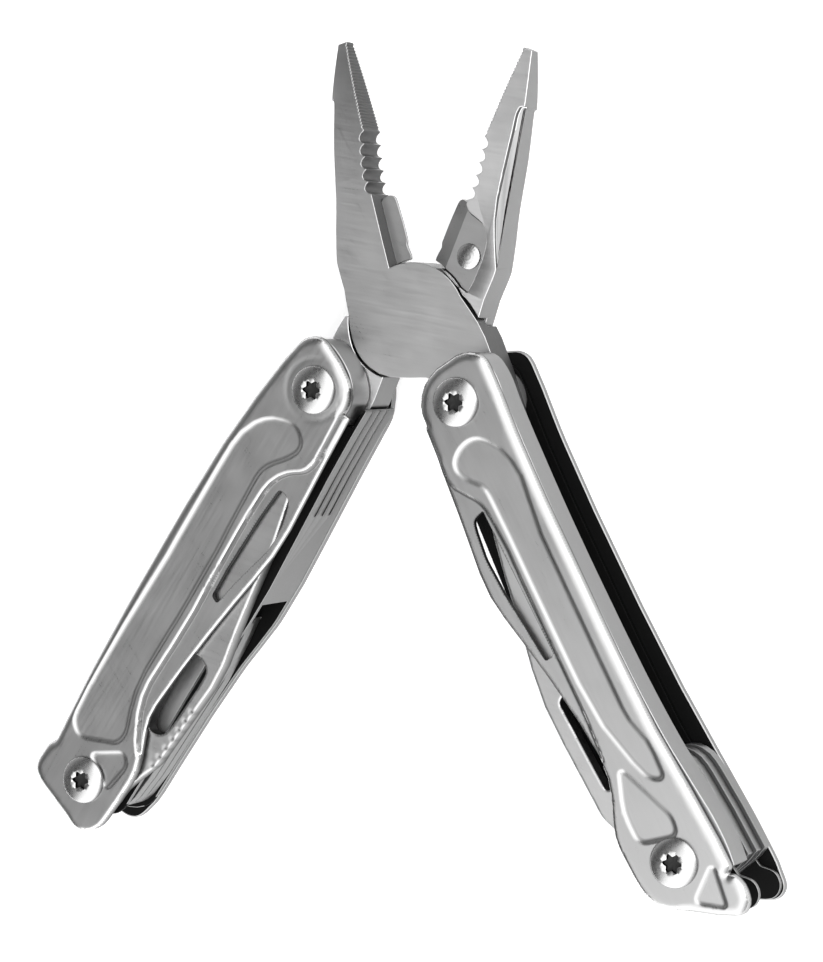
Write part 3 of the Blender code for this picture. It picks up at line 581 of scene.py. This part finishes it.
def steel(name, grey, roughness, grain=0.5, brushed=None, wear_and_sheen=0.0, tone=0.04, side_shade=0.5):
    """Steel with a fine grain or brush marks, uneven polish, light scratches and brighter edges, worn and,
    where marked, with painted highlight.

    Its cut sides are drawn darker than its level faces, painted shade, and what is marked as inside is
    painted shade, nearly black."""
    material = bpy.data.materials.new(name)
    material.use_nodes = True
    tree = material.node_tree
    shader = tree.nodes["Principled BSDF"]
    shader.inputs["Metallic"].default_value = 1.0

    def node(kind, **settings):
        made = tree.nodes.new(kind)
        for setting, value in settings.items():
            setattr(made, setting, value)
        return made

    def join(source, target):
        tree.links.new(source, target)

    coordinates = node("ShaderNodeTexCoord")

    def noise(scale, detail, stretch=(1, 1, 1), turn=0.0):
        made = node("ShaderNodeTexNoise")
        made.inputs["Scale"].default_value = scale
        made.inputs["Detail"].default_value = detail
        mapping = node("ShaderNodeMapping", vector_type="POINT")
        mapping.inputs["Scale"].default_value = stretch
        spin = node("ShaderNodeVectorRotate", rotation_type="Z_AXIS")
        spin.inputs["Angle"].default_value = turn
        join(coordinates.outputs["Object"], spin.inputs["Vector"])
        join(spin.outputs["Vector"], mapping.inputs["Vector"])
        join(mapping.outputs["Vector"], made.inputs["Vector"])
        return made.outputs["Fac"]

    def maths(operation, a, b=None, clamp=False):
        made = node("ShaderNodeMath", operation=operation, use_clamp=clamp)
        for socket, value in zip(made.inputs, (a, b)):
            if isinstance(value, (int, float)):
                socket.default_value = value
            elif value is not None:
                join(value, socket)
        return made.outputs[0]

    add, minus, times = (partial(maths, operation) for operation in ("ADD", "SUBTRACT", "MULTIPLY"))

    def swing(value, amount):
        """The 0-to-1 value as a change of up to half the amount either way."""
        return times(minus(value, 0.5), amount)

    def attribute(title):
        return node("ShaderNodeAttribute", attribute_name=title).outputs["Fac"]

    blotches = noise(BLOTCHES, 3)
    fine = noise(FINE_GRAIN, 2)
    if brushed is None:
        marks = noise(PLAIN_MARKS, 3)
    else:
        marks = noise(BRUSHED_MARKS, 2, BRUSHED_STRETCH, brushed)
    streaks = noise(STREAKS, 1, STREAK_STRETCH, STREAK_TURN)
    off_line = maths("ABSOLUTE", minus(streaks, 0.5))
    scratches = minus(1.0, times(off_line, STREAK_SHARPNESS), True)
    # Worn edges, and painted highlight where marked, drawn lighter and glossier.
    edge = times(attribute("wear_and_sheen"), wear_and_sheen)
    # Painted shade: what is marked as inside is drawn nearly black.
    painted_shade = attribute("inside")
    # Painted shade on cut sides: faces that stand more upright are drawn darker.
    split = node("ShaderNodeSeparateXYZ")
    join(coordinates.outputs["Normal"], split.inputs["Vector"])
    level = node("ShaderNodeMapRange")
    join(maths("ABSOLUTE", split.outputs["Z"]), level.inputs["Value"])
    for socket, value in zip(("From Min", "From Max", "To Min", "To Max"), (*LEVEL_NORMALS, side_shade, 1.0)):
        level.inputs[socket].default_value = value

    shade = add(1.0, swing(blotches, 2 * tone))
    shade = add(shade, swing(marks, TO_COLOUR["marks"]))
    shade = add(shade, times(edge, TO_COLOUR["edge"]))
    shade = times(shade, level.outputs["Result"])
    shade = times(shade, minus(1.0, times(painted_shade, TO_COLOUR["painted_shade"])))
    colour = node("ShaderNodeVectorMath", operation="SCALE")
    colour.inputs[0].default_value = (grey, grey, grey)
    join(shade, colour.inputs["Scale"])
    join(colour.outputs["Vector"], shader.inputs["Base Color"])

    rough = add(roughness, swing(marks, TO_ROUGHNESS["marks"]))
    rough = add(rough, swing(blotches, TO_ROUGHNESS["blotches"]))
    rough = minus(rough, times(edge, TO_ROUGHNESS["edge"]))
    rough = add(rough, times(painted_shade, TO_ROUGHNESS["painted_shade"]))
    rough = minus(rough, times(scratches, TO_ROUGHNESS["scratches"]), True)
    join(rough, shader.inputs["Roughness"])

    surface = add(times(fine, grain), times(marks, TO_RELIEF["marks"]))
    surface = minus(surface, times(scratches, TO_RELIEF["scratches"]))
    relief = node("ShaderNodeBump")
    relief.inputs["Strength"].default_value = RELIEF_STRENGTH
    relief.inputs["Distance"].default_value = RELIEF_DEPTH * MM
    join(surface, relief.inputs["Height"])
    join(relief.outputs["Normal"], shader.inputs["Normal"])
    return material


def finish_of(node, finishes):
    """The steel of a piece: its slot's, but the jaw that faces the light gets a lighter copy, painted
    light, and the folded tools differ.
    """
    if node == "rear_jaw_half":
        # A lighter copy of the forged steel, painted light, for the jaw that faces the light.
        return finishes["lit_forged_steel"]
    if is_inner_tool(node):
        return finishes["tool_steel"]
    return finishes[SLOT_OF[node]]


# ---------------------------------------------------------------- stamped front plates


def front_plate(hand, material):
    """The stamped cover, with rolled edges, soft shoulders and sunk panels."""
    node = f"{hand}_front_plate"
    handle = HANDLES[hand]
    outlines = loops_at(node, PLATE_BACK)
    rim = segments(outlines)
    holes, outer = holes_and_outer(outlines)
    lines = {step: step_lines(node, step.level, rim) for step in (LOWERED, PANEL)}

    def sunk(points, step):
        """(share of the way down the shoulder, distance past the foot of the shoulder)"""
        loops, own = lines[step]
        gap = distance(points, *own)
        below = inside(points, loops)
        below |= (distance(points, *segments(loops)) < ON_LINE) & (gap > ON_LINE)
        past = np.where(below, gap, -gap)
        return np.clip(1 + past / step.shoulder, 0, 1) ** step.bend, past

    def heights(points):
        low, past_low = sunk(points, LOWERED)
        panel, past_panel = sunk(points, PANEL)
        along, across = handle.local(points)
        rolled = np.maximum(ramp(across, *ROLL_ACROSS), ramp(along, *ROLL_ALONG))
        width, drop = (a + (b - a) * rolled for a, b in (ROLL_WIDTH, ROLL_DROP))
        gap = distance(points, *segments([outer]))
        top = RAISED - (RAISED - LOWERED.face) * low - (RAISED - PANEL.face) * panel
        top -= roll_off(gap, width, drop) * (1 - (1 - LOWERED_ROLL) * low)
        if hand == "left":
            from_screw = np.hypot(*(points - handle.origin).T)
            top -= RING_DEPTH * bump(from_screw - RING_RADIUS, RING_WIDTH)
        # Wear along the rim, and a painted highlight along each step's shoulder.
        wear_and_sheen = bump(gap, RIM_WEAR) + along_foot(past_low, LOWERED.painted_highlight) + along_foot(past_panel, PANEL.painted_highlight)
        # Painted shade in the crease at each step's foot, kept off the rim.
        painted_shade = along_foot(past_low, LOWERED.painted_shade) + along_foot(past_panel, PANEL.painted_shade)
        painted_shade *= distance(points, *rim) > ON_RIM
        # Painted shade on the walls round the holes.
        painted_shade += HOLE_SHADE * (distance(points, *segments(holes)) < ON_EDGE)
        marks = {"wear_and_sheen": wear_and_sheen.clip(0, 1), "inside": painted_shade.clip(0, 1)}
        return top, np.full(len(points), PLATE_BACK), marks

    guides = [np.concatenate(part) for part in zip(*(own for _, own in lines.values()))]
    mesh = relief_mesh(f"{node}_stamped", outlines, heights, MESH_STEP, guides)
    stand_for(link(mesh.name, mesh, material), node)


def step_lines(node, level, rim):
    """(outlines of the faces at this level, the segments of them that aren't on the plate's rim)"""
    loops = loops_at(node, level)
    starts, ends = segments([resampled(loop, MESH_STEP) for loop in loops])
    own = distance((starts + ends) / 2, *rim) > ON_RIM
    return loops, (starts[own], ends[own])


def along_foot(past, mark):
    """The mark's strength at this distance past the foot of a shoulder."""
    return mark.strength * bump(past - mark.place, mark.width)


# ---------------------------------------------------------------- outside blades


def outside_blade(node, hand, material, notches=()):
    """A flat blade with a ground cutting edge, eased holes and, on its spine, grip notches."""
    handle = HANDLES[hand]
    outlines = loops_at(node, BLADE_FACES[1])
    rim = segments(outlines)
    along, across = handle.local((rim[0] + rim[1]) / 2)
    cutting = (along > CUTTING_ALONG[0]) & (along < CUTTING_ALONG[1]) & (across > CUTTING_ACROSS)
    edge = (rim[0][cutting], rim[1][cutting])
    middle, half = sum(BLADE_FACES) / 2, (BLADE_FACES[1] - BLADE_FACES[0]) / 2
    holes, outer = holes_and_outer(outlines)
    along, across = handle.local(resampled(outer, NOTCH_STEP))
    spines = [across[np.abs(along - place) < NOTCH_WINDOW].min() + NOTCH_INSET for place in notches]

    def heights(points):
        grind = np.clip(distance(points, *edge) / GRIND_WIDTH, 0, 1)
        thick = EDGE_THICKNESS / 2 + (half - EDGE_THICKNESS / 2) * grind
        gap = distance(points, *rim)
        thick -= np.minimum(roll_off(gap, BLADE_ROLL, BLADE_DROP), thick * MOST_ROLL)
        # Painted shade on the walls round the holes.
        painted_shade = HOLE_SHADE * (distance(points, *segments(holes)) < ON_EDGE)
        # Painted shade on the ground bevel, darkest at the cutting edge.
        painted_shade += GRIND_SHADE * (1 - grind)
        along, across = handle.local(points)
        for place, spine in zip(notches, spines):
            notch = bump(along - place, NOTCH_LENGTH) * bump(across - spine, NOTCH_REACH)
            thick -= NOTCH_DEPTH * notch
            # Painted shade in the notches' hollows.
            painted_shade += NOTCH_SHADE * notch
        return middle + thick, middle - thick, {"wear_and_sheen": bump(gap, BLADE_WEAR), "inside": painted_shade.clip(0, 1)}

    mesh = relief_mesh(f"{node}_ground", outlines, heights, BLADE_STEP, two_faced=True)
    stand_for(link(mesh.name, mesh, material), node)


# ---------------------------------------------------------------- screws


def button_screw(node, material):
    """A domed head with an eased rim and a six-lobed socket, on its shank."""
    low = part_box(node)[0].z / MM
    rim = SCREW_SEAT + SCREW_RIM
    rise = SCREW_HEIGHT - SCREW_RIM
    last = math.acos(SOCKET_MOUTH / SCREW_RADIUS)
    dome = [(SCREW_RADIUS * math.cos(a), rim + rise * math.sin(a)) for a in np.linspace(0, last, 12)]
    mouth = dome[-1][1]

    def lobed(turn):
        return LOBE_RADIUS + LOBE_SWING * math.cos(LOBES * turn)

    profile = [
        (0, low), (SHANK_RADIUS, low), (SHANK_RADIUS, SCREW_SEAT),
        (SCREW_RADIUS - SCREW_EASE, SCREW_SEAT), (SCREW_RADIUS, SCREW_SEAT + SCREW_EASE), *dome,
        (lobed, mouth - SOCKET_CHAMFER), (lobed, mouth - SOCKET_DEPTH),
        (0, mouth - SOCKET_DEPTH - SOCKET_TIP),
    ]
    mesh = turned_mesh(f"{node}_detailed", profile, 96)
    centres = np.array([face.center for face in mesh.polygons]) / MM
    reach = np.hypot(centres[:, 0], centres[:, 1])
    socket = (reach < SOCKET_MOUTH) & (centres[:, 2] < mouth - SOCKET_CHAMFER)
    # Painted shade on the socket's walls and floor.
    mesh.attributes.new("inside", "FLOAT", "FACE").data.foreach_set("value", SOCKET_SHADE * socket)
    piece = link(mesh.name, mesh, material)
    piece.location = Vector((*centre_of(node), 0)) * MM
    stand_for(piece, node)


# ---------------------------------------------------------------- studio


def studio():
    """A faintly glowing pale floor under a sky that is darker on the left, and a soft lamp."""
    corners = [(-1, -1), (1, -1), (1, 1), (-1, 1)]
    mesh = bpy.data.meshes.new("floor")
    points = [(x * FLOOR_HALF * MM, y * FLOOR_HALF * MM, -FLOOR_DROP * MM) for x, y in corners]
    mesh.from_pydata(points, [], [(0, 1, 2, 3)])
    material = bpy.data.materials.new("pale_floor")
    material.use_nodes = True
    shader = material.node_tree.nodes["Principled BSDF"]
    shader.inputs["Base Color"].default_value = (FLOOR_GREY, FLOOR_GREY, FLOOR_GREY, 1)
    shader.inputs["Roughness"].default_value = FLOOR_ROUGHNESS
    shader.inputs["Emission Color"].default_value = (1, 1, 1, 1)
    shader.inputs["Emission Strength"].default_value = FLOOR_GLOW
    link("floor", mesh, material)
    sky()
    soft_light("side", (0.8, 0.35, 0.45), 0.5, 1.0)


def sky():
    """A world whose brightness follows SKY across it."""
    world = bpy.data.worlds.new("studio")
    world.use_nodes = True
    bpy.context.scene.world = world
    tree = world.node_tree
    background = tree.nodes["Background"]
    direction = tree.nodes.new("ShaderNodeTexCoord")
    along = tree.nodes.new("ShaderNodeVectorMath")
    along.operation = "DOT_PRODUCT"
    along.inputs[1].default_value = (*SKY_TURN, 0)
    spread = tree.nodes.new("ShaderNodeMapRange")
    spread.inputs["From Min"].default_value = -1
    colours = tree.nodes.new("ShaderNodeValToRGB")
    tree.links.new(direction.outputs["Generated"], along.inputs[0])
    tree.links.new(along.outputs["Value"], spread.inputs["Value"])
    tree.links.new(spread.outputs["Result"], colours.inputs["Fac"])
    tree.links.new(colours.outputs["Color"], background.inputs["Color"])
    stops = colours.color_ramp.elements
    for across, _ in SKY[2:]:
        stops.new((across + 1) / 2)
    for stop, (across, value) in zip(stops, SKY):
        stop.position = (across + 1) / 2
        stop.color = (value / SKY_SCALE,) * 3 + (1,)
    background.inputs["Strength"].default_value = SKY_SCALE


def soft_light(name, place, size, power):
    """A round lamp that points at the origin."""
    light = bpy.data.lights.new(name, "AREA")
    light.shape = "DISK"
    light.size = size
    light.energy = power
    lamp = bpy.data.objects.new(name, light)
    lamp.location = place
    lamp.rotation_euler = (-Vector(place)).to_track_quat("-Z", "Y").to_euler()
    bpy.context.scene.collection.objects.link(lamp)


def camera():
    """The photograph's view: well above the front, from the right."""
    lens = bpy.data.cameras.new("camera")
    lens.lens = LENS
    lens.clip_start = 0.01
    right, up = Vector(EYE_RIGHT), Vector(EYE_UP)
    turn = Matrix((right, up, right.cross(up))).transposed().to_4x4()
    place = (Vector((*centre_of("plier_pivot_pin"), 0)) + Vector(EYE)) * MM
    eye = bpy.data.objects.new("camera", lens)
    eye.matrix_world = Matrix.Translation(place) @ turn
    bpy.context.scene.collection.objects.link(eye)
    bpy.context.scene.camera = eye


# ---------------------------------------------------------------- assembly

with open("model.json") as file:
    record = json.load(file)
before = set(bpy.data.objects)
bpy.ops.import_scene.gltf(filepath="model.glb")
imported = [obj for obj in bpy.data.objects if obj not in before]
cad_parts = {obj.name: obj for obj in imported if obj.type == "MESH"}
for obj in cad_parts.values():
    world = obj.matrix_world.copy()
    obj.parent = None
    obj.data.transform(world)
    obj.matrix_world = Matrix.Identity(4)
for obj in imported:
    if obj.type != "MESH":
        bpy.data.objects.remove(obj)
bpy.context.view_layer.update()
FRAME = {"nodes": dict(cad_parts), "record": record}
BODY_OF = {n: body for body, nodes in FRAME["record"]["behaviour"]["bodies"].items() for n in nodes}
SLOT_OF = {part["node"]: part["material_slot"] for part in FRAME["record"]["subparts"]}
HANDLES = {hand: Handle(hand) for hand in SIDES}


def main():
    bpy.context.scene.view_settings.view_transform = "Standard"
    finishes = {name: steel(name, **settings) for name, settings in STEELS.items()}
    for hand, handle in HANDLES.items():
        turn = -math.atan2(handle.along[1], handle.along[0])
        front_plate(hand, steel(f"{hand}_stamped_steel", 0.56, 0.33, grain=0.8, brushed=turn, wear_and_sheen=1.0))
        for spot in ("pivot", "tool"):
            button_screw(f"{hand}_{spot}_screw", finishes["screw_steel"])
    outside_blade("knife_blade", "left", finishes["blade_steel"], NOTCHES)
    outside_blade("serrated_blade", "right", finishes["blade_steel"])
    for node in SLOT_OF:
        width = next((rounding for word, rounding in EDGE_ROUNDING.items() if word in node), None)
        finish = finish_of(node, finishes)
        if width is not None:
            softened(node, width, finish)
        else:
            FRAME["nodes"][node].data.materials.clear()
            FRAME["nodes"][node].data.materials.append(finish)
    studio()
    camera()


main()
